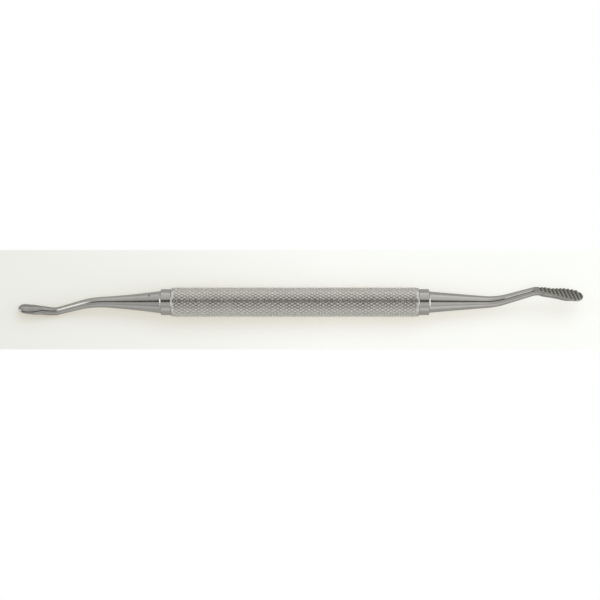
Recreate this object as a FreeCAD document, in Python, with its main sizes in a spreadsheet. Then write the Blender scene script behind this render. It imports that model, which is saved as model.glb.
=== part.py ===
import FreeCAD, Part
import math
import os

import Sketcher
from FreeCAD import Placement, Rotation, Vector

# Double-ended bone file. A hollow knurled handle carries a coarse file end and a fine file end.
# Each end is one turned and forged piece: spigot, collar, cone, bent shank and toothed head.
#
# Frame: origin at the middle of the handle on its axis, +X along the handle towards the
# coarse end, +Z up, with the instrument lying on a table as it comes to rest.
# Both ends bend in one plane through the axis, to opposite sides. The handle rests on
# the table, and so does the outer side of the knee of the fine end.

# Driving sizes in millimetres and degrees. The names of each end's own set start with
# coarse_ or fine_.
HANDLE_SIZES = [
    ("handle_length", 76.4, "tube between its end faces"),
    ("handle_diameter", 9.0, "over the crests of the knurl"),
    ("bore_diameter", 6.4, "inside of the tube"),
    ("knurl_count", 28, "diamonds around the handle"),
    ("knurl_pitch", 1.74, "diamond to diamond along the handle"),
    ("knurl_depth", 0.25, "crests above the grooves"),
    ("rim_length", 0.8, "smooth band at each end of the tube"),
    ("rim_diameter", 8.8, "smooth band at each end of the tube"),
    ("rim_chamfer", 0.25, "outer edge of the tube"),
    ("fit_clearance", 0.03, "radial room of a spigot in the bore"),
    ("spigot_length", 9.0, "part of each end inside the tube"),
    ("spigot_chamfer", 0.5, "lead-in of the spigot"),
    ("collar_diameter", 8.0, "shoulder that seats on the tube"),
    ("collar_length", 3.2, "shoulder along the axis"),
    ("collar_chamfer", 0.15, "both edges of the shoulder"),
    ("roll_angle", 47.5, "turn of the bend plane up from the table"),
]

COARSE_SIZES = [
    ("cone_base", 6.6, "diameter of the cone at the collar"),
    ("cone_middle", 5.1, "diameter of the cone half way"),
    ("cone_fillet", 0.35, "root of the cone on the collar"),
    ("bend_distance", 20.75, "collar to the first bend"),
    ("bend_angle", 23.5, "turn of the first bend"),
    ("bend_radius", 16.0, "centre line of the first bend"),
    ("shank_root", 3.7, "diameter of the shank at the first bend"),
    ("shank_end", 2.63, "diameter of the shank at the knee"),
    ("shank_length", 12.95, "first bend to the knee"),
    ("knee_angle", 35.4, "turn of the knee, back towards the axis"),
    ("knee_radius", 4.0, "centre line of the knee"),
    ("face_height", 0.72, "toothed face above the centre line of the knee"),
    ("neck_distance", 2.6, "knee to the neck of the head"),
    ("neck_length", 2.2, "neck before the head widens"),
    ("neck_width", 3.1, "width of the head at its neck"),
    ("neck_thickness", 2.2, "face to back at the neck"),
    ("belly_distance", 9.5, "knee to where the head is widest"),
    ("head_width", 4.5, "greatest width of the head"),
    ("head_thickness", 2.1, "face to back at the greatest width"),
    ("head_length", 15.0, "knee to the tip"),
    ("nose_length", 3.3, "rounded end of the head"),
    ("nose_thickness", 1.35, "face to back where the rounded end starts"),
    ("nose_drop", 0.25, "how far the tip lies below the face"),
    ("tooth_start", 1.6, "knee to the first groove"),
    ("tooth_count", 11, "grooves across the face"),
    ("tooth_pitch", 1.27, "groove to groove along the head"),
    ("tooth_skew", 16.0, "slant of the grooves across the face"),
    ("tooth_depth", 0.55, "depth of the grooves"),
    ("tooth_mouth", 1.08, "width of a groove at the face, square to it"),
    ("tooth_foot", 0.62, "deepest line of a groove from its steep side"),
]

FINE_SIZES = [
    ("cone_base", 6.9, "diameter of the cone at the collar"),
    ("cone_middle", 4.8, "diameter of the cone half way"),
    ("cone_fillet", 0.35, "root of the cone on the collar"),
    ("bend_distance", 21.5, "collar to the first bend"),
    ("bend_angle", 21.0, "turn of the first bend"),
    ("bend_radius", 22.0, "centre line of the first bend"),
    ("shank_root", 3.35, "diameter of the shank at the first bend"),
    ("shank_end", 2.36, "diameter of the shank at the knee"),
    ("shank_length", 12.6, "first bend to the knee"),
    ("knee_angle", 31.2, "turn of the knee, back towards the axis"),
    ("knee_radius", 6.0, "centre line of the knee"),
    ("face_height", 0.45, "toothed face above the centre line of the knee"),
    ("neck_distance", 2.4, "knee to the neck of the head"),
    ("neck_length", 1.4, "neck before the head widens"),
    ("neck_width", 2.95, "width of the head at its neck"),
    ("neck_thickness", 1.75, "face to back at the neck"),
    ("belly_distance", 6.6, "knee to where the head is widest"),
    ("head_width", 3.7, "greatest width of the head"),
    ("head_thickness", 1.35, "face to back at the greatest width"),
    ("head_length", 11.3, "knee to the tip"),
    ("nose_length", 2.4, "rounded end of the head"),
    ("nose_thickness", 1.05, "face to back where the rounded end starts"),
    ("nose_drop", 0.1, "how far the tip lies below the face"),
    ("tooth_start", 2.0, "knee to the first groove"),
    ("tooth_count", 11, "grooves across the face"),
    ("tooth_pitch", 0.8, "groove to groove along the head"),
    ("tooth_skew", 16.0, "slant of the grooves across the face"),
    ("tooth_depth", 0.28, "depth of the grooves"),
    ("tooth_mouth", 0.62, "width of a groove at the face, square to it"),
    ("tooth_foot", 0.22, "deepest line of a groove from its steep side"),
]

MARK_SIZES = [
    ("mark_distance", 3.6, "collar to the punched mark on the fine end"),
    ("mark_diameter", 0.7, "width of the mark"),
    ("mark_depth", 0.18, "depth of the mark"),
]

# The face cuts a section of the head at this share of its half height above the middle.
FACE_SHARE = 0.2
# Sections of the rounded end of a head, by angle from its widest place to its tip.
NOSE_ANGLES = (0.0, 35.0, 60.0, 78.0)
# Sides of every section, and the places of the sections along the cone, the first bend, the
# shank and the knee, as shares of each. Part of the taper of the shank lies in the first bend.
SIDES = 16
CONE_SHARES = (0.2, 0.4, 0.6, 0.8, 1.0)
BEND_SHARES = (0.25, 0.5, 0.75, 1.0)
SHANK_SHARES = (1.0,)
KNEE_SHARES = (0.5, 1.0)
BEND_TAPER = 0.65
# How far a joined feature starts inside the one before it, and a cutter reaches past the work.
SINK = 0.5
REACH = 4.0

doc = FreeCAD.newDocument("bone_file")
sheet = doc.addObject("Spreadsheet::Sheet", "sizes")


def fill_sheet():
    rows = HANDLE_SIZES + MARK_SIZES
    rows += [("coarse_" + alias, value, note) for alias, value, note in COARSE_SIZES]
    rows += [("fine_" + alias, value, note) for alias, value, note in FINE_SIZES]
    for row, (alias, value, note) in enumerate(rows, start=1):
        sheet.set(f"A{row}", alias)
        sheet.set(f"B{row}", str(value))
        sheet.set(f"C{row}", note)
        sheet.setAlias(f"B{row}", alias)
    doc.recompute()


def size(alias):
    return float(sheet.get(alias))


# Sketches.

def sketch_on(body, name, role, offset=None):
    sketch = body.newObject("Sketcher::SketchObject", name)
    plane = next(item for item in body.Origin.OriginFeatures if item.Role == role)
    sketch.AttachmentSupport = (plane, [""])
    sketch.MapMode = "FlatFace"
    if offset is not None:
        sketch.AttachmentOffset = offset
    return sketch


def bind(sketch, constraint, name, expression):
    number = sketch.addConstraint(constraint)
    sketch.renameConstraint(number, name)
    sketch.setExpression("Constraints." + name, expression)


def draw_outline(sketch, corners):
    # A closed outline of straight lines. A corner is a pair of expressions for its distances
    # from the two sketch axes, with None on an axis. The lines start as a regular polygon,
    # and the bound distances then put each corner in its place.
    count = len(corners)
    turns = [2 * math.pi * index / count for index in range(count + 1)]
    start = [Vector(2 + math.cos(turn), 2 + math.sin(turn), 0) for turn in turns]
    for index in range(count):
        sketch.addGeometry(Part.LineSegment(start[index], start[index + 1]), False)
    for index in range(count):
        following = (index + 1) % count
        sketch.addConstraint(Sketcher.Constraint("Coincident", index, 2, following, 1))
    for index, corner in enumerate(corners):
        for letter, axis, expression in (("X", -2, corner[0]), ("Y", -1, corner[1])):
            if expression is None:
                sketch.addConstraint(Sketcher.Constraint("PointOnObject", index, 1, axis))
                continue
            distance = Sketcher.Constraint("Distance" + letter, -1, 1, index, 1, 1.0)
            bind(sketch, distance, f"corner{index}{letter}", expression)


def draw_oval(sketch, width, height, width_expression, height_expression):
    # A closed ring of equal turns about the sketch's origin, with its corners on an ellipse.
    turns = [2 * math.pi * (index + 0.5) / SIDES for index in range(SIDES + 1)]
    corners = [Vector(width / 2 * math.cos(turn), height / 2 * math.sin(turn), 0)
               for turn in turns]
    for index in range(SIDES):
        sketch.addGeometry(Part.LineSegment(corners[index], corners[index + 1]), False)
    for index in range(SIDES):
        following = (index + 1) % SIDES
        sketch.addConstraint(Sketcher.Constraint("Coincident", index, 2, following, 1))
    for index in range(SIDES):
        across = math.cos(turns[index]) / 2
        up = math.sin(turns[index]) / 2
        for letter, share, expression in (("X", across, width_expression),
                                          ("Y", up, height_expression)):
            ends = ((-1, 1), (index, 1)) if share > 0 else ((index, 1), (-1, 1))
            distance = Sketcher.Constraint("Distance" + letter, *ends[0], *ends[1], 1.0)
            bind(sketch, distance, f"corner{index}{letter}", f"({expression}) * {abs(share)}")


# Route of an end in its bend plane: x along the axis away from the handle, y to the side
# that it bends to. Headings are angles from x.

def point_on_route(end, distance):
    # Point and heading at a distance along the centre line from the outer face of the collar.
    bend = math.radians(size(end + "bend_angle"))
    bend_tangent = size(end + "bend_radius") * math.tan(bend / 2)
    knee = math.radians(size(end + "knee_angle"))
    knee_tangent = size(end + "knee_radius") * math.tan(knee / 2)
    stretches = [
        (size(end + "bend_distance") - bend_tangent, None, 0.0),
        (size(end + "bend_radius") * bend, size(end + "bend_radius"), 1.0),
        (size(end + "shank_length") - bend_tangent - knee_tangent, None, 0.0),
        (size(end + "knee_radius") * knee, size(end + "knee_radius"), -1.0),
    ]
    x = size("handle_length") / 2 + size("collar_length")
    y = 0.0
    heading = 0.0
    for length, radius, side in stretches:
        step = min(distance, length)
        distance -= step
        if radius is None:
            x += step * math.cos(heading)
            y += step * math.sin(heading)
        else:
            turned = heading + side * step / radius
            x += side * radius * (math.sin(turned) - math.sin(heading))
            y -= side * radius * (math.cos(turned) - math.cos(heading))
            heading = turned
        if distance <= 0:
            break
    return x, y, math.degrees(heading)


def route_lengths(end):
    # Distances along the centre line: start and end of the first bend, start and end of the knee.
    bend = math.radians(size(end + "bend_angle"))
    bend_tangent = size(end + "bend_radius") * math.tan(bend / 2)
    knee = math.radians(size(end + "knee_angle"))
    knee_tangent = size(end + "knee_radius") * math.tan(knee / 2)
    bend_start = size(end + "bend_distance") - bend_tangent
    bend_end = bend_start + size(end + "bend_radius") * bend
    knee_start = bend_end + size(end + "shank_length") - bend_tangent - knee_tangent
    return bend_start, bend_end, knee_start, knee_start + size(end + "knee_radius") * knee


def head_heading(end):
    return size(end + "bend_angle") - size(end + "knee_angle")


def point_on_head(end, along, above):
    # Point of the head: along its length from the knee, and above its toothed face.
    bend = math.radians(size(end + "bend_angle"))
    heading = math.radians(head_heading(end))
    bend_x = size("handle_length") / 2 + size("collar_length") + size(end + "bend_distance")
    knee_x = bend_x + size(end + "shank_length") * math.cos(bend)
    knee_y = size(end + "shank_length") * math.sin(bend)
    rise = size(end + "face_height") + above
    x = knee_x + along * math.cos(heading) - rise * math.sin(heading)
    y = knee_y + along * math.sin(heading) + rise * math.cos(heading)
    return x, y


# Features of an end.

def section_offset(x, y, heading):
    # Seat of a section square to the route: sketch x across the bend plane, sketch z ahead.
    lean = Rotation(Vector(0, 1, 0), heading)
    quarter = Rotation(Vector(0, 0, 1), 90)
    return Placement(Vector(y, 0, x), lean.multiply(quarter))


def head_offset(end, along, skew=0.0):
    # Seat of a sketch in the bend plane: sketch x along the head, sketch y out of its face.
    x, y = point_on_head(end, along, 0.0)
    turn = Rotation(Vector(0, 0, 1), head_heading(end))
    return Placement(Vector(x, y, 0), turn.multiply(Rotation(Vector(0, 1, 0), skew)))


def add_collar(body, end):
    # Spigot and collar, turned about the axis.
    sketch = sketch_on(body, end + "collar_profile", "XY_Plane")
    spigot = "sizes.handle_length / 2 - sizes.spigot_length"
    spigot_radius = "sizes.bore_diameter / 2 - sizes.fit_clearance"
    seat = "sizes.handle_length / 2"
    outer = "sizes.handle_length / 2 + sizes.collar_length"
    draw_outline(sketch, [
        (spigot, None),
        (spigot, spigot_radius + " - sizes.spigot_chamfer"),
        (spigot + " + sizes.spigot_chamfer", spigot_radius),
        (seat, spigot_radius),
        (seat, "sizes.collar_diameter / 2 - sizes.collar_chamfer"),
        (seat + " + sizes.collar_chamfer", "sizes.collar_diameter / 2"),
        (outer + " - sizes.collar_chamfer", "sizes.collar_diameter / 2"),
        (outer, "sizes.collar_diameter / 2 - sizes.collar_chamfer"),
        (outer, None),
    ])
    revolution = body.newObject("PartDesign::Revolution", end + "collar")
    revolution.Profile = sketch
    revolution.ReferenceAxis = (sketch, ["H_Axis"])
    revolution.Angle = 360


def add_round_section(body, end, name, distance, expression):
    x, y, heading = point_on_route(end, distance)
    if distance < 0:
        x += distance
    sketch = sketch_on(body, end + name, "YZ_Plane", section_offset(x, y, heading))
    diameter = size(end + "shank_root")
    draw_oval(sketch, diameter, diameter, expression, expression)
    return sketch


def add_neck_section(body, end, name, along):
    # A round section whose upper part the toothed face cuts off, leaving the named thickness.
    x, y = point_on_head(end, along, size(end + "neck_width") / 2 - size(end + "neck_thickness"))
    sketch = sketch_on(body, end + name, "YZ_Plane", section_offset(x, y, head_heading(end)))
    width = size(end + "neck_width")
    draw_oval(sketch, width, width, f"sizes.{end}neck_width", f"sizes.{end}neck_width")
    return sketch


def add_oval_section(body, end, name, along, widths, thicknesses, share=1.0, drop=0.0):
    # An oval whose upper part the toothed face cuts off, leaving the mean of the two named
    # widths and of the two named thicknesses.
    thick = share * (size(end + thicknesses[0]) + size(end + thicknesses[1])) / 2
    wide = share * (size(end + widths[0]) + size(end + widths[1])) / 2
    x, y = point_on_head(end, along, -drop - thick * FACE_SHARE / (1 + FACE_SHARE))
    sketch = sketch_on(body, end + name, "YZ_Plane", section_offset(x, y, head_heading(end)))
    wide_factor = 1 / math.sqrt(1 - FACE_SHARE ** 2)
    thick_factor = 2 / (1 + FACE_SHARE)
    draw_oval(
        sketch, wide * wide_factor, thick * thick_factor,
        f"(sizes.{end}{widths[0]} + sizes.{end}{widths[1]}) * {share * wide_factor / 2}",
        f"(sizes.{end}{thicknesses[0]} + sizes.{end}{thicknesses[1]}) * {share * thick_factor / 2}")
    return sketch


def cone_diameter(end, share):
    # A parabola through the diameters at the collar, half way and at the first bend.
    base = (1 - share) * (1 - 2 * share)
    middle = 4 * share * (1 - share)
    root = share * (2 * share - 1)
    return (f"sizes.{end}cone_base * {base} + sizes.{end}cone_middle * {middle}"
            f" + sizes.{end}shank_root * {root}")


def shank_diameter(end, share):
    return f"sizes.{end}shank_root + (sizes.{end}shank_end - sizes.{end}shank_root) * {share}"


def add_shank_and_head(body, end):
    # Cone, bent shank and head as one loft of sections square to the centre line.
    bend_start, bend_end, knee_start, knee_end = route_lengths(end)
    fillet = size(end + "cone_fillet")
    root = f"{cone_diameter(end, 0)} + 2 * sizes.{end}cone_fillet"
    stations = [(-SINK, root), (0.0, root), (fillet, cone_diameter(end, fillet / bend_start))]
    for share in CONE_SHARES:
        stations.append((bend_start * share, cone_diameter(end, share)))
    for share in BEND_SHARES:
        distance = bend_start + (bend_end - bend_start) * share
        stations.append((distance, shank_diameter(end, share * BEND_TAPER)))
    for share in SHANK_SHARES:
        distance = bend_end + (knee_start - bend_end) * share
        stations.append((distance, shank_diameter(end, BEND_TAPER + (1 - BEND_TAPER) * share)))
    for share in KNEE_SHARES:
        distance = knee_start + (knee_end - knee_start) * share
        stations.append((distance, shank_diameter(end, 1.0)))
    sections = [add_round_section(body, end, f"round_{number}", distance, expression)
                for number, (distance, expression) in enumerate(stations, start=1)]
    neck = size(end + "neck_distance")
    neck_end = neck + size(end + "neck_length")
    belly = size(end + "belly_distance")
    sections.append(add_neck_section(body, end, "neck_start", neck))
    sections.append(add_neck_section(body, end, "neck_end", neck_end))
    sections.append(add_oval_section(body, end, "flare", (neck_end + belly) / 2,
                                     ("neck_width", "head_width"),
                                     ("neck_thickness", "head_thickness")))
    sections.append(add_oval_section(body, end, "belly", belly, ("head_width",) * 2,
                                     ("head_thickness",) * 2))
    nose = size(end + "head_length") - size(end + "nose_length")
    for number, angle in enumerate(NOSE_ANGLES, start=1):
        ahead = math.sin(math.radians(angle))
        sections.append(add_oval_section(
            body, end, f"nose_{number}", nose + size(end + "nose_length") * ahead,
            ("head_width",) * 2, ("nose_thickness",) * 2, math.cos(math.radians(angle)),
            size(end + "nose_drop") * ahead))
    loft = body.newObject("PartDesign::AdditiveLoft", end + "shank_and_head")
    loft.Profile = sections[0]
    loft.Sections = sections[1:]
    loft.Ruled = True


def add_face(body, end):
    # The flat that the teeth are cut in, from the knee to the tip.
    back = size(end + "shank_end")
    sketch = sketch_on(body, end + "face_profile", "XY_Plane", head_offset(end, -back))
    length = f"sizes.{end}head_length + sizes.{end}shank_end + {REACH}"
    height = f"sizes.{end}shank_end + {REACH}"
    draw_outline(sketch, [(None, None), (length, None), (length, height), (None, height)])
    pocket = body.newObject("PartDesign::Pocket", end + "face")
    pocket.Profile = sketch
    pocket.SideType = "Symmetric"
    pocket.setExpression("Length", f"2 * sizes.{end}head_width")
    return sketch


def add_teeth(body, end, face_sketch):
    # Slanted grooves across the face, steep on the side of the handle.
    skew = size(end + "tooth_skew")
    foot = size(end + "tooth_foot")
    along = size(end + "tooth_start") - foot / math.cos(math.radians(skew))
    sketch = sketch_on(body, end + "groove_profile", "XY_Plane", head_offset(end, along, skew))
    depth = size(end + "tooth_depth")
    mouth = size(end + "tooth_mouth")
    corners = [Vector(0, 0, 0), Vector(foot, -depth, 0), Vector(mouth, 0, 0),
               Vector(mouth, depth, 0), Vector(0, depth, 0)]
    for first, second in zip(corners, corners[1:] + corners[:1]):
        sketch.addGeometry(Part.LineSegment(first, second), False)
    for index in range(len(corners)):
        following = (index + 1) % len(corners)
        sketch.addConstraint(Sketcher.Constraint("Coincident", index, 2, following, 1))
    sketch.addConstraint(Sketcher.Constraint("Coincident", 0, 1, -1, 1))
    sketch.addConstraint(Sketcher.Constraint("PointOnObject", 2, 1, -1))
    sketch.addConstraint(Sketcher.Constraint("Vertical", 2))
    sketch.addConstraint(Sketcher.Constraint("Horizontal", 3))
    sketch.addConstraint(Sketcher.Constraint("Vertical", 4))
    bind(sketch, Sketcher.Constraint("DistanceX", 0, 1, 1, 1, foot), "foot",
         f"sizes.{end}tooth_foot")
    bind(sketch, Sketcher.Constraint("DistanceY", 1, 1, 0, 1, depth), "depth",
         f"sizes.{end}tooth_depth")
    bind(sketch, Sketcher.Constraint("DistanceX", 0, 1, 2, 1, mouth), "mouth",
         f"sizes.{end}tooth_mouth")
    bind(sketch, Sketcher.Constraint("DistanceY", 0, 1, 4, 1, depth), "rise",
         f"sizes.{end}tooth_depth")
    groove = body.newObject("PartDesign::Pocket", end + "groove")
    groove.Profile = sketch
    groove.SideType = "Symmetric"
    groove.setExpression("Length", f"2 * sizes.{end}head_width")
    doc.recompute()
    teeth = body.newObject("PartDesign::LinearPattern", end + "teeth")
    teeth.Originals = [groove]
    teeth.Direction = (face_sketch, ["H_Axis"])
    teeth.Mode = "Spacing"
    teeth.setExpression("Offset", f"sizes.{end}tooth_pitch")
    teeth.setExpression("Occurrences", f"sizes.{end}tooth_count")
    body.Tip = teeth


def add_mark(body, end):
    # A shallow punched mark on the cone, on the side away from the bend.
    bend_start = route_lengths(end)[0]
    share = size("mark_distance") / bend_start
    diameter = (size(end + "cone_base") * (1 - share) * (1 - 2 * share)
                + size(end + "cone_middle") * 4 * share * (1 - share)
                + size(end + "shank_root") * share * (2 * share - 1))
    radius = size("mark_diameter") ** 2 / (8 * size("mark_depth")) + size("mark_depth") / 2
    mark = body.newObject("PartDesign::SubtractiveSphere", end + "mark")
    mark.setExpression(
        "Radius", "sizes.mark_diameter ^ 2 / (8 * sizes.mark_depth) + sizes.mark_depth / 2")
    outer = size("handle_length") / 2 + size("collar_length")
    mark.Placement = Placement(
        Vector(outer + size("mark_distance"), -diameter / 2 - radius + size("mark_depth"), 0),
        Rotation())


def make_file_end(name, end, turn, marked):
    body = doc.addObject("PartDesign::Body", name)
    body.Label = name
    add_collar(body, end)
    add_shank_and_head(body, end)
    if marked:
        add_mark(body, end)
    face_sketch = add_face(body, end)
    doc.recompute()
    add_teeth(body, end, face_sketch)
    roll = Rotation(Vector(1, 0, 0), size("roll_angle"))
    body.Placement = Placement(Vector(), roll.multiply(Rotation(Vector(0, 0, 1), turn)))
    return body


def knurl_ring(row, rows, height):
    # Corners of the knurled surface at one place along it. Crests and grooves take turns, around
    # the handle and from row to row. A crest lies straight below the axis, so that the handle
    # rests without rolling. The first and the last row are all groove.
    crest = size("handle_diameter") / 2
    groove = crest - size("knurl_depth")
    steps = 2 * round(size("knurl_count"))
    corners = []
    for step in range(steps):
        turn = 2 * math.pi * step / steps - math.pi / 2
        lifted = 0 < row < rows and (step + row) % 2 == 1
        radius = crest if lifted else groove
        corners.append(Vector(height, radius * math.cos(turn), radius * math.sin(turn)))
    return corners


def knurl_faces(start, length):
    # The diamonds: four flat sides each, between grooves that cross along straight runs.
    rows = 2 * round(length / size("knurl_pitch"))
    rings = [knurl_ring(row, rows, start + length * row / rows) for row in range(rows + 1)]
    steps = len(rings[0])
    faces = []
    for row in range(rows):
        for step in range(steps):
            after = (step + 1) % steps
            near, far = rings[row], rings[row + 1]
            square = [near[step], far[step], far[after], near[after]]
            if (step + row) % 2 == 1:
                square = square[1:] + square[:1]
            for corners in (square[:3], [square[0]] + square[2:]):
                faces.append(Part.Face(Part.makePolygon(corners + corners[:1])))
    return faces, rings[0], rings[-1]


def make_handle(name):
    # A tube with a bore, a smooth rim band at each end and the knurl between them.
    half = size("handle_length") / 2
    bore = size("bore_diameter") / 2
    rim = size("rim_diameter") / 2
    chamfer = size("rim_chamfer")
    knurl_end = half - size("rim_length")
    along = Vector(1, 0, 0)
    faces, first, last = knurl_faces(-knurl_end, 2 * knurl_end)
    for side, ring in ((-1, first), (1, last)):
        edge = Part.makePolygon(ring + ring[:1])
        shoulder = Vector(side * knurl_end, 0, 0)
        circle = Part.Wire(Part.makeCircle(rim, shoulder, along))
        faces.append(Part.makeFace([circle, edge], "Part::FaceMakerBullseye"))
        outline = Part.makePolygon([
            Vector(side * knurl_end, rim, 0), Vector(side * (half - chamfer), rim, 0),
            Vector(side * half, rim - chamfer, 0), Vector(side * half, bore, 0)])
        faces += outline.revolve(Vector(), along, 360).Faces
    wall = Part.makeLine(Vector(-half, bore, 0), Vector(half, bore, 0))
    faces += wall.revolve(Vector(), along, 360).Faces
    shell = Part.makeShell(faces)
    shell.sewShape()
    tube = Part.makeSolid(shell)
    if tube.Volume < 0:
        tube.reverse()
    handle = doc.addObject("Part::Feature", name)
    handle.Label = name
    handle.Shape = tube
    return handle


fill_sheet()
pieces = [
    make_handle("knurled_handle"),
    make_file_end("coarse_file_end", "coarse_", 0.0, False),
    make_file_end("fine_file_end", "fine_", 180.0, True),
]
doc.recompute()

for item in doc.Objects:
    if "Invalid" in item.State or "Error" in item.State:
        raise RuntimeError(f"{item.Name} failed: {item.State}")

os.makedirs("parts", exist_ok=True)
for piece in pieces:
    shape = piece.Shape
    if shape.isNull() or not shape.isValid() or len(shape.Solids) != 1:
        raise RuntimeError(f"{piece.Label} is not one valid solid")
    shape.exportStep(f"parts/{piece.Label}.step")
    print(piece.Label, "volume", round(shape.Volume, 2), "faces", len(shape.Faces))
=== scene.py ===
import math

import bmesh
import bpy
from mathutils import Matrix, Vector


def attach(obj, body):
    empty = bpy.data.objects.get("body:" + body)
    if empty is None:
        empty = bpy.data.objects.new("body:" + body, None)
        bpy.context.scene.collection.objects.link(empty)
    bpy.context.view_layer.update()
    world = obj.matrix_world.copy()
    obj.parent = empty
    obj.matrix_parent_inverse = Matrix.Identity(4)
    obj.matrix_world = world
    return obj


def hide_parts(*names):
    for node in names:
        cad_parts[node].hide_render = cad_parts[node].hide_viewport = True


# Double-ended bone file lying on a pale table: a knurled tube with a coarse and a fine file end.
# Everything is in metres. X runs along the handle to the coarse end, and Z is up.

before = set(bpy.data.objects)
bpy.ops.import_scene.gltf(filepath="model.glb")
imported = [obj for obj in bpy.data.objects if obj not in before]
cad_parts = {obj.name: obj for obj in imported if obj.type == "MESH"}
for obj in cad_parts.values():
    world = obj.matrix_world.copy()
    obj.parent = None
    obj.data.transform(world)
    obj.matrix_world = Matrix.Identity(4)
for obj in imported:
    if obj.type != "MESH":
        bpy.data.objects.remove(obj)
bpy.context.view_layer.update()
print("frame loaded")

mm = 0.001
creaseAngle = 28.0  # edges sharper than this stay sharp in the shading


# Node helpers.

def feed(tree, node, key, value):
    if isinstance(value, bpy.types.NodeSocket):
        tree.links.new(value, node.inputs[key])
    else:
        node.inputs[key].default_value = value


def addNode(tree, kind, settings=None, inputs=None):
    node = tree.nodes.new(kind)
    for key, value in (settings or {}).items():
        setattr(node, key, value)
    for key, value in (inputs or {}).items():
        feed(tree, node, key, value)
    return node


def calc(tree, operation, first, second=None, third=None):
    node = addNode(tree, "ShaderNodeMath", {"operation": operation})
    for index, value in enumerate((first, second, third)):
        if value is not None:
            feed(tree, node, index, value)
    return node.outputs[0]


def mapBetween(tree, value, start, stop, top=1.0, interpolation="LINEAR"):
    # 0 up to the start, and the top value from the stop on.
    return addNode(tree, "ShaderNodeMapRange", {"interpolation_type": interpolation}, {
        "Value": value, "From Min": start, "From Max": stop, "To Max": top}).outputs[0]


def blend(tree, share, first, second):
    # The first colour where the share is 0, and the second where it is 1.
    return addNode(tree, "ShaderNodeMix", {"data_type": "RGBA"}, {
        0: share, 6: first, 7: second}).outputs[2]


def objectPlace(tree):
    return addNode(tree, "ShaderNodeTexCoord").outputs["Object"]


def splitAxes(tree, vector):
    return addNode(tree, "ShaderNodeSeparateXYZ", None, {0: vector}).outputs


def newGroup(name, kind, inputs, outputs):
    # An empty node group with its sockets by name and type, and what its inputs give.
    tree = bpy.data.node_groups.new(name, kind)
    for direction, sockets in (("INPUT", inputs), ("OUTPUT", outputs)):
        for socket, socketType in sockets.items():
            tree.interface.new_socket(socket, in_out=direction,
                                      socket_type="NodeSocket" + socketType)
    return tree, addNode(tree, "NodeGroupInput").outputs


def endGeometryTree(tree, geometry, material):
    real = addNode(tree, "GeometryNodeRealizeInstances", None, {0: geometry}).outputs[0]
    painted = addNode(tree, "GeometryNodeSetMaterial", None, {
        "Geometry": real, "Material": material}).outputs[0]
    addNode(tree, "NodeGroupOutput", None, {"Geometry": painted})


# Mesh helpers.

def addObject(name, data):
    thing = bpy.data.objects.new(name, data)
    bpy.context.scene.collection.objects.link(thing)
    return thing


def addPiece(name, mesh, material):
    mesh.materials.clear()
    mesh.materials.append(material)
    return addObject(name, mesh)


def meshFromBmesh(name, bm):
    mesh = bpy.data.meshes.new(name)
    bm.to_mesh(mesh)
    bm.free()
    return mesh


def evaluatedMesh(piece):
    bpy.context.view_layer.update()
    evaluated = piece.evaluated_get(bpy.context.evaluated_depsgraph_get())
    return bpy.data.meshes.new_from_object(evaluated)


def meshFromNodes(name, tree, values, base=None):
    # Runs a geometry tree on a mesh, or on an empty one, and keeps the result as a plain mesh.
    base = base or bpy.data.meshes.new(name + "Base")
    holder = addObject(name + "Holder", base)
    modifier = holder.modifiers.new(name, "NODES")
    modifier.node_group = tree
    for item in tree.interface.items_tree:
        if item.item_type == "SOCKET" and item.in_out == "INPUT" and item.name in values:
            modifier[item.identifier] = values[item.name]
    mesh = evaluatedMesh(holder)
    bpy.data.objects.remove(holder)
    bpy.data.meshes.remove(base)
    return mesh


def subtract(piece, cutter):
    # The cut surface gets the cutter's material.
    modifier = piece.modifiers.new("cut", "BOOLEAN")
    modifier.operation = "DIFFERENCE"
    modifier.solver = "EXACT"
    modifier.material_mode = "TRANSFER"
    modifier.object = cutter
    mesh = evaluatedMesh(piece)
    spent = (piece.data, cutter.data)
    piece.modifiers.clear()
    piece.data = mesh
    bpy.data.objects.remove(cutter)
    for old in spent:
        bpy.data.meshes.remove(old)


def shadeByAngle(mesh):
    mesh.polygons.foreach_set("use_smooth", [True] * len(mesh.polygons))
    mesh.set_sharp_from_angle(angle=math.radians(creaseAngle))


def joinRings(bm, rings):
    # Faces between neighbouring rings of vertices. A ring of one vertex is a pole.
    for near, far in zip(rings, rings[1:]):
        count = max(len(near), len(far))
        for index in range(count):
            after = (index + 1) % count
            corners = [near[index % len(near)], near[after % len(near)],
                       far[after % len(far)], far[index % len(far)]]
            bm.faces.new(list(dict.fromkeys(corners)))


def ringVertices(bm, centre, across, up, sides):
    if across.length == 0:
        return [bm.verts.new(centre)]
    turns = [2 * math.pi * index / sides for index in range(sides)]
    return [bm.verts.new(centre + across * math.cos(turn) + up * math.sin(turn))
            for turn in turns]


# Knurled handle, a tube between two smooth rims.

handle = {
    "length": 76.4 * mm,
    "diameter": 9.0 * mm,  # over the crests of the knurl
    "bore": 6.4 * mm,
    "knurlCount": 28,  # diamonds around
    "knurlPitch": 1.74 * mm,
    "knurlDepth": 0.25 * mm,
    "knurlLand": 0.8,  # top of a diamond, as a share of the way in from its grooves
    "knurlPillow": 1.5,  # 1 is a flat-sided groove, more rounds it into the land
    "knurlDivisions": 4,
    "rimLength": 0.8 * mm,
    "rimDiameter": 8.8 * mm,
    "rimChamfers": (0.14 * mm, 0.25 * mm),  # at the coarse and the fine end
    "rimFoot": 0.03 * mm,  # run of the step between knurl and rim
}


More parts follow.
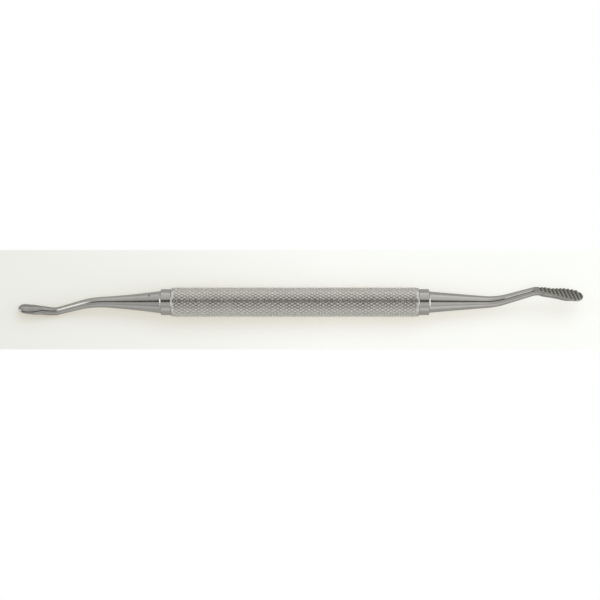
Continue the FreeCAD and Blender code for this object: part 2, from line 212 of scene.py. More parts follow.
def knurlTree():
    # Patches laid like a chessboard, split along the grooves, lifted to diamonds and rolled up.
    boardWeld = 0.001  # in widths of a patch
    seamWeld = 0.005 * mm
    tree, given = newGroup("knurl", "GeometryNodeTree", {
        "Geometry": "Geometry", "Length": "Float", "Groove Radius": "Float", "Depth": "Float",
        "Land": "Float", "Pillow": "Float", "Rows": "Int", "Steps": "Int", "Divisions": "Int",
        "Material": "Material"}, {"Geometry": "Geometry"})

    # One patch, split along either diagonal, on the black and on the white squares.
    corners = calc(tree, "ADD", given["Divisions"], 1.0)
    patch = addNode(tree, "GeometryNodeMeshGrid", None, {
        "Size X": 1.0, "Size Y": 1.0, "Vertices X": corners, "Vertices Y": corners}).outputs[0]
    splits = [addNode(tree, "GeometryNodeTriangulate", {"quad_method": method},
                      {"Mesh": patch}).outputs[0] for method in ("FIXED", "FIXED_ALTERNATE")]
    board = addNode(tree, "GeometryNodeMeshGrid", None, {
        "Size X": calc(tree, "SUBTRACT", given["Rows"], 1.0),
        "Size Y": calc(tree, "SUBTRACT", given["Steps"], 1.0),
        "Vertices X": given["Rows"], "Vertices Y": given["Steps"]}).outputs[0]
    index = addNode(tree, "GeometryNodeInputIndex").outputs[0]
    row = calc(tree, "FLOOR", calc(tree, "DIVIDE", index, given["Steps"]))
    odd = calc(tree, "FLOORED_MODULO", calc(tree, "ADD", row, index), 2.0)
    joined = addNode(tree, "GeometryNodeJoinGeometry")
    for split, chosen in zip(splits, (odd, calc(tree, "SUBTRACT", 1.0, odd))):
        placed = addNode(tree, "GeometryNodeInstanceOnPoints", None, {
            "Points": board, "Selection": chosen, "Instance": split}).outputs[0]
        tree.links.new(placed, joined.inputs[0])
    real = addNode(tree, "GeometryNodeRealizeInstances", None, {0: joined.outputs[0]}).outputs[0]
    flat = addNode(tree, "GeometryNodeMergeByDistance", None, {
        "Geometry": real, "Distance": boardWeld}).outputs[0]

    # Height over the grooves, which run along both diagonals.
    parts = splitAxes(tree, addNode(tree, "GeometryNodeInputPosition").outputs[0])
    along = calc(tree, "ADD", parts["X"], calc(tree, "DIVIDE", given["Rows"], 2.0))
    around = calc(tree, "ADD", parts["Y"], calc(tree, "DIVIDE", given["Steps"], 2.0))
    rising = calc(tree, "DIVIDE", calc(tree, "ADD", along, around), 2.0)
    falling = calc(tree, "DIVIDE", calc(tree, "SUBTRACT", along, around), 2.0)
    fromGroove = calc(tree, "MULTIPLY", 2.0, calc(
        tree, "MINIMUM", calc(tree, "PINGPONG", rising, 0.5),
        calc(tree, "PINGPONG", falling, 0.5)))
    flank = calc(tree, "MINIMUM", 1.0, calc(
        tree, "DIVIDE", fromGroove, calc(tree, "SUBTRACT", 1.0, given["Land"])))
    rounded = calc(tree, "SUBTRACT", 1.0, calc(
        tree, "POWER", calc(tree, "SUBTRACT", 1.0, flank), given["Pillow"]))
    radius = calc(tree, "MULTIPLY_ADD", rounded, given["Depth"], given["Groove Radius"])

    # Rolled up around X, from straight down.
    turn = calc(tree, "SUBTRACT", calc(tree, "MULTIPLY", calc(
        tree, "DIVIDE", around, given["Steps"]), 2 * math.pi), math.pi / 2)
    rolled = addNode(tree, "ShaderNodeCombineXYZ", None, {
        "X": calc(tree, "MULTIPLY", calc(tree, "DIVIDE", parts["X"], given["Rows"]),
                  given["Length"]),
        "Y": calc(tree, "MULTIPLY", radius, calc(tree, "COSINE", turn)),
        "Z": calc(tree, "MULTIPLY", radius, calc(tree, "SINE", turn))}).outputs[0]
    wrapped = addNode(tree, "GeometryNodeSetPosition", None, {
        "Geometry": flat, "Position": rolled}).outputs[0]
    closed = addNode(tree, "GeometryNodeMergeByDistance", None, {
        "Geometry": wrapped, "Distance": seamWeld}).outputs[0]
    endGeometryTree(tree, closed, given["Material"])
    return tree


def knurlEdge(bm, side):
    # The open edge of the knurl at one end, in turning order from straight down.
    slack = 0.001  # keeps the vertex that lies straight down in front of the others
    edge = [vertex for vertex in bm.verts if vertex.is_boundary and vertex.co.x * side > 0]
    return sorted(edge, key=lambda vertex: (
        math.atan2(vertex.co.z, vertex.co.y) + math.pi / 2 + slack) % (2 * math.pi))


def rimOutline(chamfer):
    # From the knurl over the rim and its chamfer into the bore, as (x, radius).
    half = handle["length"] / 2
    rim = handle["rimDiameter"] / 2
    return [
        (half - handle["rimLength"] + handle["rimFoot"], rim),
        (half - chamfer, rim),
        (half, rim - chamfer),
        (half, handle["bore"] / 2),
    ]


def makeHandle(name, material):
    knurlLength = handle["length"] - 2 * handle["rimLength"]
    steps = 2 * handle["knurlCount"]
    knurl = meshFromNodes("knurl", knurlTree(), {
        "Length": knurlLength,
        "Groove Radius": handle["diameter"] / 2 - handle["knurlDepth"],
        "Depth": handle["knurlDepth"],
        "Land": handle["knurlLand"],
        "Pillow": handle["knurlPillow"],
        "Rows": 2 * round(knurlLength / handle["knurlPitch"]),
        "Steps": steps,
        "Divisions": handle["knurlDivisions"],
        "Material": material,
    })
    bm = bmesh.new()
    bm.from_mesh(knurl)
    bpy.data.meshes.remove(knurl)
    first = knurlEdge(bm, 1)
    last = knurlEdge(bm, -1)

    # Over the coarse rim, through the bore and back over the fine rim.
    coarseChamfer, fineChamfer = handle["rimChamfers"]
    outline = rimOutline(coarseChamfer)
    outline += [(-x, radius) for x, radius in reversed(rimOutline(fineChamfer))]
    sides = steps * handle["knurlDivisions"]
    rings = [ringVertices(bm, Vector((x, 0.0, 0.0)), Vector((0.0, 0.0, -radius)),
                          Vector((0.0, radius, 0.0)), sides) for x, radius in outline]
    joinRings(bm, [first, *rings, last])
    bmesh.ops.recalc_face_normals(bm, faces=bm.faces)
    openEdges = sum(1 for edge in bm.edges if not edge.is_manifold)
    piece = addPiece(name, meshFromBmesh(name, bm), material)
    shadeByAngle(piece.data)
    print(name, "made with", len(piece.data.polygons), "faces and", openEdges, "open edges")
    return piece


# File ends: a spigot in the bore, a collar, a cone, a bent shank and a head with teeth.

collar = {
    "clearance": 0.03 * mm,  # between spigot and bore
    "spigotLength": 9.0 * mm,
    "spigotChamfer": 0.5 * mm,
    "diameter": 8.0 * mm,
    "length": 3.2 * mm,
    "chamfer": 0.15 * mm,
}

coarseEnd = {
    "turn": 0.0,  # about Z, to its side of the handle
    "coneBase": 6.6 * mm,
    "coneMiddle": 5.1 * mm,
    "coneFillet": 0.35 * mm,
    "bendDistance": 20.75 * mm,  # from the collar to the corner of the bend
    "bendAngle": 23.5,
    "bendRadius": 16.0 * mm,
    "shankRoot": 3.7 * mm,
    "shankEnd": 2.63 * mm,
    "shankLength": 12.95 * mm,  # from corner to corner
    "kneeAngle": 35.4,
    "kneeRadius": 4.0 * mm,
    "kneeFlare": 0.0,  # share of the growth from shank to neck that lies in the knee
    "faceHeight": 0.72 * mm,  # of the toothed face over the middle of the shank
    "neckDistance": 2.6 * mm,  # from the corner of the knee, as the next distances
    "neckLength": 2.2 * mm,
    "neckWidth": 3.1 * mm,
    "neckThickness": 2.2 * mm,
    "bellyDistance": 9.5 * mm,
    "headWidth": 4.5 * mm,
    "headThickness": 2.1 * mm,
    "headLength": 15.0 * mm,
    "noseLength": 3.3 * mm,
    "noseThickness": 1.35 * mm,
    "noseDrop": 0.25 * mm,
    "toothStart": 1.6 * mm,
    "toothCount": 11,
    "toothPitch": 1.27 * mm,
    "toothSkew": 16.0,
    "toothDepth": 0.55 * mm,
    "toothMouth": 1.08 * mm,
    "toothFoot": 0.62 * mm,
    "toothReach": 0.6 * mm,  # the first groove stops this far past the middle of the face
    "toothDrift": 0.24 * mm,  # each next groove reaches further by this
    "toothTilt": 4.0,  # the grooves get shallower towards where they stop
}

fineEnd = {
    "turn": 180.0,
    "coneBase": 6.9 * mm,
    "coneMiddle": 4.8 * mm,
    "coneFillet": 0.35 * mm,
    "bendDistance": 21.5 * mm,
    "bendAngle": 21.0,
    "bendRadius": 22.0 * mm,
    "shankRoot": 3.35 * mm,
    "shankEnd": 2.36 * mm,
    "shankLength": 12.6 * mm,
    "kneeAngle": 31.2,
    "kneeRadius": 6.0 * mm,
    "kneeFlare": 0.45,
    "faceHeight": 0.45 * mm,
    "neckDistance": 2.4 * mm,
    "neckLength": 1.4 * mm,
    "neckWidth": 2.95 * mm,
    "neckThickness": 1.75 * mm,
    "bellyDistance": 6.6 * mm,
    "headWidth": 3.7 * mm,
    "headThickness": 1.35 * mm,
    "headLength": 11.3 * mm,
    "noseLength": 2.4 * mm,
    "noseThickness": 1.05 * mm,
    "noseDrop": 0.1 * mm,
    "toothStart": 2.0 * mm,
    "toothCount": 11,
    "toothPitch": 0.8 * mm,
    "toothSkew": 16.0,
    "toothDepth": 0.28 * mm,
    "toothMouth": 0.62 * mm,
    "toothFoot": 0.22 * mm,
    "toothReach": 3.7 * mm,
    "toothDrift": 0.0,
    "toothTilt": 0.0,
    "markDistance": 3.6 * mm,  # a punched dot on the cone, from the collar
    "markDiameter": 0.7 * mm,
    "markDepth": 0.18 * mm,
}

endShape = {
    "rollAngle": 47.5,  # turn of the bend plane up from the table
    "sides": 96,
    "spacing": 0.3 * mm,  # between sections
    "filletSteps": 5,
    "noseSteps": 14,
    "markSegments": 32,
    "bendTaper": 0.65,  # part of the shank's taper that lies in the first bend
    "faceShare": 0.2,  # the face cuts a section at this share of its half height
    "cutterReach": 4.0 * mm,  # what the block that cuts the face has beyond the head
}


# Route of an end in its bend plane, x along the axis away from the handle and y to the side
# that it bends to, as the CAD model has it.

def routeStretches(end):
    bend = math.radians(end["bendAngle"])
    knee = math.radians(end["kneeAngle"])
    bendTangent = end["bendRadius"] * math.tan(bend / 2)
    kneeTangent = end["kneeRadius"] * math.tan(knee / 2)
    return [
        (end["bendDistance"] - bendTangent, None, 0.0),
        (end["bendRadius"] * bend, end["bendRadius"], 1.0),
        (end["shankLength"] - bendTangent - kneeTangent, None, 0.0),
        (end["kneeRadius"] * knee, end["kneeRadius"], -1.0),
    ]


def coneStart():
    return handle["length"] / 2 + collar["length"]


def pointOnRoute(end, distance):
    x = coneStart()
    y = 0.0
    heading = 0.0
    for length, radius, side in routeStretches(end):
        step = min(distance, length)
        distance -= step
        if radius is None:
            x += step * math.cos(heading)
            y += step * math.sin(heading)
        else:
            turned = heading + side * step / radius
            x += side * radius * (math.sin(turned) - math.sin(heading))
            y -= side * radius * (math.cos(turned) - math.cos(heading))
            heading = turned
        if distance <= 0:
            break
    return Vector((x, y, 0.0)), heading


def headHeading(end):
    return math.radians(end["bendAngle"] - end["kneeAngle"])


def pointOnHead(end, along, above):
    bend = math.radians(end["bendAngle"])
    heading = headHeading(end)
    kneeX = coneStart() + end["bendDistance"] + end["shankLength"] * math.cos(bend)
    kneeY = end["shankLength"] * math.sin(bend)
    rise = end["faceHeight"] + above
    return Vector((kneeX + along * math.cos(heading) - rise * math.sin(heading),
                   kneeY + along * math.sin(heading) + rise * math.cos(heading), 0.0))


def kneeGrowth(end):
    return end["kneeFlare"] * (end["neckWidth"] - end["shankEnd"])


def diameterOnRoute(end, distance):
    # The cone follows a parabola through three diameters, and the shank tapers to the knee.
    coneEnd, bend, shank, knee = (stretch[0] for stretch in routeStretches(end))
    if distance < coneEnd:
        share = distance / coneEnd
        diameter = (end["coneBase"] * (1 - share) * (1 - 2 * share)
                    + end["coneMiddle"] * 4 * share * (1 - share)
                    + end["shankRoot"] * share * (2 * share - 1))
        fillet = end["coneFillet"]
        if distance < fillet:
            diameter += 2 * (fillet - math.sqrt(fillet ** 2 - (fillet - distance) ** 2))
        return diameter
    taper = endShape["bendTaper"]
    if distance < coneEnd + bend:
        share = taper * (distance - coneEnd) / bend
    else:
        share = taper + (1 - taper) * min(1.0, (distance - coneEnd - bend) / shank)
    inKnee = max(0.0, distance - coneEnd - bend - shank) / knee
    return (end["shankRoot"] + (end["shankEnd"] - end["shankRoot"]) * share
            + kneeGrowth(end) * inKnee ** 2)


def smoothThrough(stations, place):
    # Hermite curve through rows of (place, values), with slopes that don't overshoot.
    places = [station[0] for station in stations]
    last = len(places) - 2
    index = max(0, min(last, sum(1 for known in places if known <= place) - 1))

    def secant(spot, column):
        rise = stations[spot + 1][1][column] - stations[spot][1][column]
        return rise / (places[spot + 1] - places[spot])

    def slope(spot, column):
        if spot in (0, len(places) - 1):
            return 0.0 if spot else secant(0, column)
        before = secant(spot - 1, column)
        after = secant(spot, column)
        return 0.0 if before * after <= 0 else 2 * before * after / (before + after)

    width = places[index + 1] - places[index]
    part = (place - places[index]) / width
    values = []
    for column in range(len(stations[0][1])):
        start = stations[index][1][column]
        stop = stations[index + 1][1][column]
        values.append(start * (1 + 2 * part) * (1 - part) ** 2
                      + stop * part ** 2 * (3 - 2 * part)
                      + slope(index, column) * width * part * (1 - part) ** 2
                      - slope(index + 1, column) * width * part ** 2 * (1 - part))
    return values


def headSections(end):
    # Middle above the face, width and height of the uncut section, by distance from the knee.
    share = endShape["faceShare"]
    wideFactor = 1 / math.sqrt(1 - share ** 2)
    thickFactor = 2 / (1 + share)
    sink = share / (1 + share)

    def oval(width, thickness):
        return (-thickness * sink, width * wideFactor, thickness * thickFactor)

    neck = (end["neckWidth"] / 2 - end["neckThickness"], end["neckWidth"], end["neckWidth"])
    neckEnd = end["neckDistance"] + end["neckLength"]
    nose = end["headLength"] - end["noseLength"]
    knee = end["shankEnd"] + kneeGrowth(end)
    return [
        (end["kneeRadius"] * math.tan(math.radians(end["kneeAngle"]) / 2),
         (-end["faceHeight"], knee, knee)),
        (end["neckDistance"], neck),
        (neckEnd, neck),
        ((neckEnd + end["bellyDistance"]) / 2,
         oval((end["neckWidth"] + end["headWidth"]) / 2,
              (end["neckThickness"] + end["headThickness"]) / 2)),
        (end["bellyDistance"], oval(end["headWidth"], end["headThickness"])),
        (nose, oval(end["headWidth"], end["noseThickness"])),
    ]


def addSection(bm, centre, heading, width, height):
    across = Vector((0.0, 0.0, width / 2))
    up = Vector((-math.sin(heading), math.cos(heading), 0.0)) * (height / 2)
    return ringVertices(bm, centre, across, up, endShape["sides"])


def spigotRings(bm):
    # Spigot and collar, from the pole in the bore.
    half = handle["length"] / 2
    spigot = handle["bore"] / 2 - collar["clearance"]
    outer = collar["diameter"] / 2
    start = half - collar["spigotLength"]
    stop = coneStart()
    turned = [
        (start, 0.0),
        (start, spigot - collar["spigotChamfer"]),
        (start + collar["spigotChamfer"], spigot),
        (half, spigot),
        (half, outer - collar["chamfer"]),
        (half + collar["chamfer"], outer),
        (stop - collar["chamfer"], outer),
        (stop, outer - collar["chamfer"]),
    ]
    return [addSection(bm, Vector((x, 0.0, 0.0)), 0.0, 2 * radius, 2 * radius)
            for x, radius in turned]


def routeRings(bm, end):
    # Cone and bent shank, to the end of the knee.
    fillet = end["coneFillet"]
    steps = endShape["filletSteps"]
    distances = [fillet * (1 - math.cos(math.pi / 2 * step / steps)) for step in range(steps)]
    routeEnd = sum(stretch[0] for stretch in routeStretches(end))
    count = round((routeEnd - fillet) / endShape["spacing"])
    distances += [fillet + (routeEnd - fillet) * step / count for step in range(count + 1)]
    rings = []
    for distance in distances:
        centre, heading = pointOnRoute(end, distance)
        diameter = diameterOnRoute(end, distance)
        rings.append(addSection(bm, centre, heading, diameter, diameter))
    return rings


def headRings(bm, end):
    # Neck and belly, and the nose down to its pole.
    sections = headSections(end)
    heading = headHeading(end)
    first = sections[0][0]
    nose = sections[-1][0]
    count = round((nose - first) / endShape["spacing"])
    rings = []
    for step in range(1, count + 1):
        along = first + (nose - first) * step / count
        above, width, height = smoothThrough(sections, along)
        rings.append(addSection(bm, pointOnHead(end, along, above), heading, width, height))
    above, width, height = sections[-1][1]
    steps = endShape["noseSteps"]
    for step in range(1, steps + 1):
        turn = math.pi / 2 * step / steps
        share = math.cos(turn) if step < steps else 0.0
        along = nose + end["noseLength"] * math.sin(turn)
        middle = above * share - end["noseDrop"] * math.sin(turn)
        rings.append(addSection(bm, pointOnHead(end, along, middle), heading,
                                width * share, height * share))
    return rings


def faceCutter(end, material):
    # A block over the flat that the teeth are cut in.
    bm = bmesh.new()
    bmesh.ops.create_cube(bm, size=1.0)
    length = end["headLength"] + end["shankEnd"] + endShape["cutterReach"]
    height = end["shankEnd"] + endShape["cutterReach"]
    bmesh.ops.scale(bm, vec=(length, height, 2 * end["headWidth"]), verts=bm.verts)
    middle = pointOnHead(end, length / 2 - end["shankEnd"], height / 2)
    seat = Matrix.Translation(middle) @ Matrix.Rotation(headHeading(end), 4, "Z")
    bmesh.ops.transform(bm, matrix=seat, verts=bm.verts)
    return addPiece("faceCutter", meshFromBmesh("faceCutter", bm), material)


def rowTree():
    # Repeats the incoming mesh along a line, once for each groove.
    tree, given = newGroup("grooveRow", "GeometryNodeTree", {
        "Geometry": "Geometry", "Count": "Int", "Step": "Vector", "Material": "Material",
    }, {"Geometry": "Geometry"})
    row = addNode(tree, "GeometryNodeMeshLine", {"mode": "OFFSET"}, {
        "Count": given["Count"], "Offset": given["Step"]}).outputs[0]
    placed = addNode(tree, "GeometryNodeInstanceOnPoints", None, {
        "Points": row, "Instance": given["Geometry"]}).outputs[0]
    endGeometryTree(tree, placed, given["Material"])
    return tree


def toothCutter(end, tree, material):
    # One slanted groove, steep on the side of the handle, repeated along the face.
    skew = math.radians(end["toothSkew"])
    tilt = math.radians(end["toothTilt"])
    heading = headHeading(end)
    depth = end["toothDepth"]
    foot = end["toothFoot"]
    mouth = end["toothMouth"]
    profile = [(0.0, 0.0), (foot, -depth), (mouth, 0.0), (mouth, depth), (0.0, depth)]
    along = end["toothStart"] - foot / math.cos(skew)
    sink = math.tan(tilt) * end["headWidth"] / 2
    seat = (Matrix.Translation(pointOnHead(end, along, 0.0)) @ Matrix.Rotation(heading, 4, "Z")
            @ Matrix.Rotation(skew, 4, "Y") @ Matrix.Rotation(-tilt, 4, "X"))
    bm = bmesh.new()
    rings = [[bm.verts.new(seat @ Vector((x, y + sink, side))) for x, y in profile]
             for side in (-end["headWidth"], end["toothReach"])]
    joinRings(bm, rings)
    for ring in rings:
        bm.faces.new(ring)
    bmesh.ops.recalc_face_normals(bm, faces=bm.faces)
    step = Vector((math.cos(heading), math.sin(heading), 0.0)) * end["toothPitch"]
    step += seat.col[2].xyz * end["toothDrift"]
    mesh = meshFromNodes("grooves", tree, {
        "Count": end["toothCount"], "Step": step, "Material": material,
    }, meshFromBmesh("groove", bm))
    return addObject("grooves", mesh)


def markCutter(end, material):
    # A ball that leaves a shallow dot on the cone, on the side away from the bend.
    depth = end["markDepth"]
    radius = end["markDiameter"] ** 2 / (8 * depth) + depth / 2
    surface = diameterOnRoute(end, end["markDistance"]) / 2
    segments = endShape["markSegments"]
    bm = bmesh.new()
    bmesh.ops.create_uvsphere(bm, u_segments=segments, v_segments=segments // 2, radius=radius)
    bmesh.ops.translate(bm, verts=bm.verts, vec=(
        coneStart() + end["markDistance"], depth - surface - radius, 0.0))
    return addPiece("mark", meshFromBmesh("mark", bm), material)


def makeFileEnd(name, end, tree, bodySteel, paintedFaceShadeSteel, paintedToothShade):
    bm = bmesh.new()
    joinRings(bm, spigotRings(bm) + routeRings(bm, end) + headRings(bm, end))
    bmesh.ops.recalc_face_normals(bm, faces=bm.faces)
    piece = addPiece(name, meshFromBmesh(name, bm), bodySteel)
    subtract(piece, faceCutter(end, paintedFaceShadeSteel))
    subtract(piece, toothCutter(end, tree, paintedToothShade))
    if "markDepth" in end:
        # The dot's hollow gets the same painted shade as the teeth.
        subtract(piece, markCutter(end, paintedToothShade))
    roll = Matrix.Rotation(math.radians(endShape["rollAngle"]), 4, "X")
    piece.data.transform(roll @ Matrix.Rotation(math.radians(end["turn"]), 4, "Z"))
    shadeByAngle(piece.data)
    print(name, "made with", len(piece.data.polygons), "faces")
    return piece


# Steel.

steel = {
    "patchShade": 0.86,  # colour of the darkest patches against the rest
    "patchScale": 260.0,
    "roughnessSpread": 0.12,
    "lineHeight": 0.02 * mm,
    "kneePlace": 72.0 * mm,  # the painted shade on the heads starts here, from the middle of the handle
    "headPlace": 76.0 * mm,
}

# Lines is how fine the drawn lines are on each axis, and bump is how far they show.
finishes = {
    "knurled": {
        "colour": (0.83, 0.82, 0.785, 1.0),
        "shade": 0.68,  # painted shade: colour in the bottom of the grooves against the crests
        "roughness": 0.27,
        "lines": (900.0, 2500.0, 2500.0),
        "bump": 0.15,
    },
    "polished": {
        "colour": (0.62, 0.615, 0.595, 1.0),
        "shade": 0.74,  # painted shade: colour of the heads against the shanks
        "roughness": 0.17,
        "lines": (2500.0, 400.0, 400.0),
        "bump": 0.12,
    },
    # The toothed face is painted darker than the body: painted shade on the face.
    "face": {
        "colour": (0.34, 0.335, 0.30, 1.0),
        "roughness": 0.3,
        "lines": (900.0, 900.0, 900.0),
        "bump": 0.2,
    },
    # The cut teeth are painted darker still: painted shade in the grooves.
    "tooth": {
        "colour": (0.27, 0.265, 0.235, 1.0),
        "roughness": 0.36,
        "lines": (900.0, 900.0, 900.0),
        "bump": 0.2,
    },
}


def polishGroup():
    # Fine drawn lines and slow patches of a hand-polished steel, from the piece's own place.
    tree, given = newGroup("steelPolish", "ShaderNodeTree", {
        "Line Scale": "Vector", "Roughness": "Float", "Spread": "Float",
    }, {"Height": "Float", "Roughness": "Float", "Patches": "Float"})
    place = objectPlace(tree)
    stretched = addNode(tree, "ShaderNodeVectorMath", {"operation": "MULTIPLY"}, {
        0: place, 1: given["Line Scale"]}).outputs[0]
    lines = addNode(tree, "ShaderNodeTexNoise", None, {
        "Vector": stretched, "Scale": 1.0, "Detail": 4.0, "Roughness": 0.6}).outputs[0]
    patches = addNode(tree, "ShaderNodeTexNoise", None, {
        "Vector": place, "Scale": steel["patchScale"], "Detail": 3.0,
        "Roughness": 0.55}).outputs[0]
    centred = calc(tree, "SUBTRACT", calc(tree, "ADD", lines, patches), 1.0)
    rough = calc(tree, "MULTIPLY_ADD", centred, given["Spread"], given["Roughness"])
    addNode(tree, "NodeGroupOutput", None, {
        "Height": lines, "Roughness": rough, "Patches": patches})
    return tree


def paintedGrooveShadeGroup():
    # Mask for the painted shade in the knurl's grooves: 0 in their bottom, and 1 on its crests
    # and beyond its ends.
    tree, given = newGroup("knurlPaintedGrooveShade", "ShaderNodeTree", {
        "Bottom": "Float", "Crest": "Float", "End": "Float"}, {"Mask": "Float"})
    parts = splitAxes(tree, objectPlace(tree))
    radius = calc(tree, "SQRT", calc(tree, "MULTIPLY_ADD", parts["Y"], parts["Y"], calc(
        tree, "MULTIPLY", parts["Z"], parts["Z"])))
    height = mapBetween(tree, radius, given["Bottom"], given["Crest"])
    beyond = calc(tree, "GREATER_THAN", calc(tree, "ABSOLUTE", parts["X"]), given["End"])
    addNode(tree, "NodeGroupOutput", None, {"Mask": calc(tree, "MAXIMUM", height, beyond)})
    return tree


def paintedHeadShadeGroup():
    # Mask for the painted shade on the heads: 0 on the heads, and 1 from the knees inwards.
    tree, given = newGroup("paintedHeadShade", "ShaderNodeTree", {
        "Knee": "Float", "Head": "Float"}, {"Mask": "Float"})
    fromMiddle = calc(tree, "ABSOLUTE", splitAxes(tree, objectPlace(tree))["X"])
    mask = mapBetween(tree, fromMiddle, given["Head"], given["Knee"])
    addNode(tree, "NodeGroupOutput", None, {"Mask": mask})
    return tree


def steelMaterial(name, finish, polish, masking=None, places=None):
    # Painted shade: where the masking group gives 0, the colour is multiplied by the finish's
    # shade.
    material = bpy.data.materials.new(name)
    material.use_nodes = True
    tree = material.node_tree
    shader = next(node for node in tree.nodes if node.type == "BSDF_PRINCIPLED")
    group = addNode(tree, "ShaderNodeGroup", {"node_tree": polish}, {
        "Line Scale": finish["lines"], "Roughness": finish["roughness"],
        "Spread": steel["roughnessSpread"]})
    dimmed = [part * steel["patchShade"] for part in finish["colour"][:3]] + [1.0]
    colour = blend(tree, group.outputs["Patches"], dimmed, finish["colour"])
    if masking:
        mask = addNode(tree, "ShaderNodeGroup", {"node_tree": masking}, places).outputs["Mask"]
        factor = calc(tree, "MULTIPLY_ADD", mask, 1.0 - finish["shade"], finish["shade"])
        colour = addNode(tree, "ShaderNodeVectorMath", {"operation": "SCALE"}, {
            0: colour, "Scale": factor}).outputs[0]
    relief = addNode(tree, "ShaderNodeBump", None, {
        "Strength": finish["bump"], "Distance": steel["lineHeight"],
        "Height": group.outputs["Height"]})
    shader.inputs["Metallic"].default_value = 1.0
    feed(tree, shader, "Base Color", colour)
    feed(tree, shader, "Roughness", group.outputs["Roughness"])
    feed(tree, shader, "Normal", relief.outputs[0])
    return material


polish = polishGroup()
paintedHeadShade = paintedHeadShadeGroup()
headPlaces = {"Knee": steel["kneePlace"], "Head": steel["headPlace"]}
groovePlaces = {
    "Bottom": handle["diameter"] / 2 - handle["knurlDepth"],
    "Crest": handle["diameter"] / 2,
    "End": handle["length"] / 2 - handle["rimLength"],
}
handleSteel = steelMaterial("knurledSteel", finishes["knurled"], polish, paintedGrooveShadeGroup(),
                            groovePlaces)
coarseSteel, fineSteel = (
    steelMaterial(name, finishes["polished"], polish, paintedHeadShade, headPlaces)
    for name in ("coarseEndSteel", "fineEndSteel"))
paintedFaceShadeSteel = steelMaterial("paintedFaceShadeSteel", finishes["face"], polish)
paintedToothShade = steelMaterial("paintedToothShadeSteel", finishes["tooth"], polish)
print("steel finishes made")

grooveRow = rowTree()
pieces = [
    (makeHandle("knurledHandle", handleSteel), "knurled_steel", "knurled_handle"),
    (makeFileEnd("coarseFileEnd", coarseEnd, grooveRow, coarseSteel, paintedFaceShadeSteel, paintedToothShade),
     "coarse_end_steel", "coarse_file_end"),
    (makeFileEnd("fineFileEnd", fineEnd, grooveRow, fineSteel, paintedFaceShadeSteel, paintedToothShade),
     "fine_end_steel", "fine_file_end"),
]
for piece, slotName, node in pieces:
    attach(piece, "root")
    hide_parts(node)


# Table.

table = {
    "height": -handle["diameter"] / 2,
    "size": 1.6,
    "colour": (0.47, 0.47, 0.45, 1.0),
    "seenColour": (0.45, 0.55, 0.635, 1.0),  # its colour where the camera sees it
    # The glow that only the camera sees is painted light, brighter from the fine end towards the
    # coarse end.
    "glowFine": (0.352, 0.258, 0.125, 1.0),  # added there, beside the fine end
    "glowCoarse": (0.497, 0.405, 0.285, 1.0),  # added there, from the coarse half on
    "glowFrom": -91.0 * mm,
    "glowTo": 12.0 * mm,
    "bandLow": -14.7 * mm,  # the table is off-white between these, and white beyond
    "bandHigh": 16.2 * mm,
    "bandBlur": 0.2 * mm,
}


def tableMaterial():
    material = bpy.data.materials.new("paleTable")
    material.use_nodes = True
    tree = material.node_tree
    tree.nodes.clear()
    parts = splitAxes(tree, objectPlace(tree))
    seen = addNode(tree, "ShaderNodeLightPath").outputs["Is Camera Ray"]
    blur = table["bandBlur"]
    low, high = (mapBetween(tree, parts["Y"], table[edge] - blur, table[edge] + blur)
                 for edge in ("bandLow", "bandHigh"))
    band = calc(tree, "MULTIPLY", low, calc(tree, "SUBTRACT", 1.0, high))
    # Painted light, rising towards the coarse end.
    rise = mapBetween(tree, parts["X"], table["glowFrom"], table["glowTo"])
    glow = addNode(tree, "ShaderNodeEmission", None, {
        "Color": blend(tree, rise, table["glowFine"], table["glowCoarse"]), "Strength": seen})
    matte = addNode(tree, "ShaderNodeBsdfDiffuse", None, {
        "Color": blend(tree, seen, table["colour"], table["seenColour"])})
    both = addNode(tree, "ShaderNodeAddShader", None, {0: matte.outputs[0], 1: glow.outputs[0]})
    white = addNode(tree, "ShaderNodeEmission", None, {
        "Color": (1.0, 1.0, 1.0, 1.0), "Strength": 1.0})
    beyond = calc(tree, "MULTIPLY", seen, calc(tree, "SUBTRACT", 1.0, band))
    mixed = addNode(tree, "ShaderNodeMixShader", None, {
        0: beyond, 1: both.outputs[0], 2: white.outputs[0]})
    addNode(tree, "ShaderNodeOutputMaterial", None, {"Surface": mixed.outputs[0]})
    return material


def makeTable():
    bm = bmesh.new()
    bmesh.ops.create_grid(bm, x_segments=1, y_segments=1, size=table["size"] / 2)
    bmesh.ops.translate(bm, vec=(0.0, 0.0, table["height"]), verts=bm.verts)
    tableTop = addPiece("tableTop", meshFromBmesh("tableTop", bm), tableMaterial())


# Surroundings that the steel mirrors.

sky = {
    "colour": (1.0, 0.99, 0.965),
    "rise": 0.5,  # brighter per unit of direction towards the coarse end
    "endLevel": 0.9,  # brightness beyond both ends of the instrument
    "endFrom": 0.4,  # direction along the handle at which the ends start to show
    "endTo": 0.8,
    "capLevel": 1.5,  # more light from straight beyond both ends
    "capFrom": 0.84,
    "capTo": 0.95,
    "stripLevel": 1.7,  # a long lamp over the fine end
    "stripFrom": 0.46,
    "stripTo": 0.57,
    "stripAngle": 24.0,
    "stripWidth": 32.0,
    # Brightness by angle from straight up towards +Y, in degrees.
    "stops": [
        (-180, 0.5), (-110, 0.5), (-85, 0.62), (-62, 0.80), (-45, 0.46), (-20, 0.66),
        (-3, 0.55), (3, 0.04), (15, 0.04), (23, 0.5), (35, 0.66), (60, 0.72), (82, 0.88),
        (98, 0.92), (112, 0.80), (180, 0.5),
    ],
}


def skyLight(level):
    return [level * part for part in sky["colour"]] + [1.0]


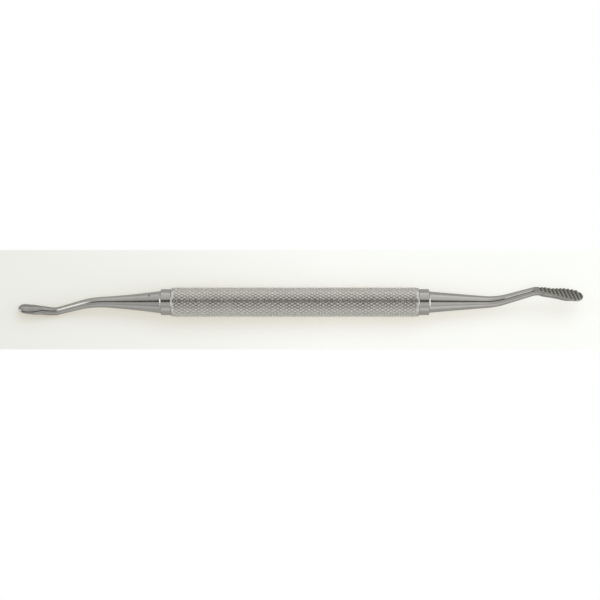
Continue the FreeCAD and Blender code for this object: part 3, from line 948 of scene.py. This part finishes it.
def makeSky():
    world = bpy.data.worlds.new("studioSky")
    bpy.context.scene.world = world
    world.use_nodes = True
    tree = world.node_tree
    tree.nodes.clear()
    parts = splitAxes(tree, addNode(tree, "ShaderNodeTexCoord").outputs["Generated"])
    angle = calc(tree, "ARCTAN2", parts["Y"], parts["Z"])
    ramp = addNode(tree, "ShaderNodeValToRGB", None, {
        0: calc(tree, "MULTIPLY_ADD", angle, 0.5 / math.pi, 0.5)})
    stops = ramp.color_ramp.elements
    while len(stops) > 1:
        stops.remove(stops[-1])
    for number, (degrees, level) in enumerate(sky["stops"]):
        place = degrees / 360 + 0.5
        stop = stops[0] if number == 0 else stops.new(place)
        stop.position = place
        stop.color = skyLight(level)
    endwards = calc(tree, "ABSOLUTE", parts["X"])
    ends = mapBetween(tree, endwards, sky["endFrom"], sky["endTo"], 1.0, "SMOOTHSTEP")
    cap = mapBetween(tree, endwards, sky["capFrom"], sky["capTo"], sky["capLevel"],
                     "SMOOTHSTEP")
    reach = mapBetween(tree, parts["X"], -sky["stripFrom"], -sky["stripTo"],
                       sky["stripLevel"], "SMOOTHSTEP")
    fromStrip = calc(tree, "ABSOLUTE", calc(
        tree, "SUBTRACT", angle, math.radians(sky["stripAngle"])))
    across = mapBetween(tree, fromStrip, math.radians(sky["stripWidth"]), 0.0, 1.0, "SMOOTHSTEP")
    extra = calc(tree, "ADD", cap, calc(tree, "MULTIPLY", reach, across))
    slope = calc(tree, "MULTIPLY_ADD", parts["X"], sky["rise"], 1.0)
    background = addNode(tree, "ShaderNodeBackground", None, {
        "Color": blend(tree, ends, ramp.outputs[0], skyLight(sky["endLevel"])),
        "Strength": calc(tree, "ADD", slope, extra)})
    addNode(tree, "ShaderNodeOutputWorld", None, {"Surface": background.outputs[0]})


# Soft round lamps aimed at the instrument, which its steel doesn't mirror.

lampColour = (0.97, 0.985, 1.0)
lamps = {
    "keyLamp": {"place": (0.20, 0.50, 0.70), "size": 0.55, "power": 1.78},
    "topLamp": {"place": (0.0, 0.0, 0.90), "size": 0.50, "power": 1.5},
}


def addLamp(name, values):
    light = bpy.data.lights.new(name, "AREA")
    light.shape = "DISK"
    light.size = values["size"]
    light.energy = values["power"]
    light.color = lampColour
    lamp = addObject(name, light)
    lamp.location = values["place"]
    lamp.rotation_euler = (-lamp.location).to_track_quat("-Z", "Y").to_euler()
    lamp.visible_glossy = False


# Camera, straight over the instrument.

view = {
    "place": (1.55 * mm, 0.65 * mm, 600 * mm),
    "lens": 116.43,
    "sensor": 36.0,
    "clipStart": 0.01,
    "clipEnd": 10.0,
}


def makeCamera():
    data = bpy.data.cameras.new("camera")
    data.lens = view["lens"]
    data.sensor_width = view["sensor"]
    data.clip_start = view["clipStart"]
    data.clip_end = view["clipEnd"]
    camera = addObject("camera", data)
    camera.location = view["place"]
    bpy.context.scene.camera = camera


makeTable()
makeSky()
for name, values in lamps.items():
    addLamp(name, values)
makeCamera()
bpy.context.scene.view_settings.view_transform = "Standard"
print("table, light and camera placed")
